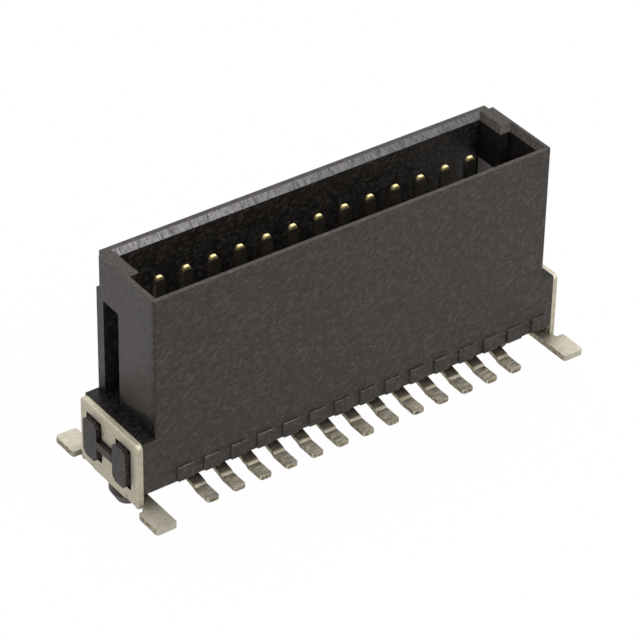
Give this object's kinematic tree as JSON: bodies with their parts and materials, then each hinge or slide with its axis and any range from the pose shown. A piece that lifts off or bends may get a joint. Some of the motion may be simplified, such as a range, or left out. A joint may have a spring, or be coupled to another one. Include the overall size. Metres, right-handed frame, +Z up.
{
  "type": "board to board connector",
  "caption": "Straight surface-mount board to board plug with a tall open-topped housing, keyed end walls, blade contacts, locating pegs and stamped hold-down clips.",
  "frame": {"origin": "on the board plane under the solder feet, midway between the two rows and the two ends", "axes": "+Z up out of the board along the mating direction, X along the rows, Y across them with the keys towards +Y"},
  "size_m": [0.0214, 0.0074, 0.011],
  "materials": {
    "housing_plastic": "matte moulded plastic with a fine grain",
    "contact_metal": "pale tin plating on the solder feet, gold plating on the blades",
    "clip_metal": "satin pale tin plating with bare copper-coloured cut edges"
  },
  "bodies": {
    "root": {"housing": "housing_plastic", "contact_front_01": "contact_metal", "contact_front_02": "contact_metal", "contact_front_03": "contact_metal", "contact_front_04": "contact_metal", "contact_front_05": "contact_metal", "contact_front_06": "contact_metal", "contact_front_07": "contact_metal", "contact_front_08": "contact_metal", "contact_front_09": "contact_metal", "contact_front_10": "contact_metal", "contact_front_11": "contact_metal", "contact_front_12": "contact_metal", "contact_front_13": "contact_metal", "contact_back_01": "contact_metal", "contact_back_02": "contact_metal", "contact_back_03": "contact_metal", "contact_back_04": "contact_metal", "contact_back_05": "contact_metal", "contact_back_06": "contact_metal", "contact_back_07": "contact_metal", "contact_back_08": "contact_metal", "contact_back_09": "contact_metal", "contact_back_10": "contact_metal", "contact_back_11": "contact_metal", "contact_back_12": "contact_metal", "contact_back_13": "contact_metal", "hold_down_left": "clip_metal", "hold_down_right": "clip_metal"}
  },
  "joints": []
}
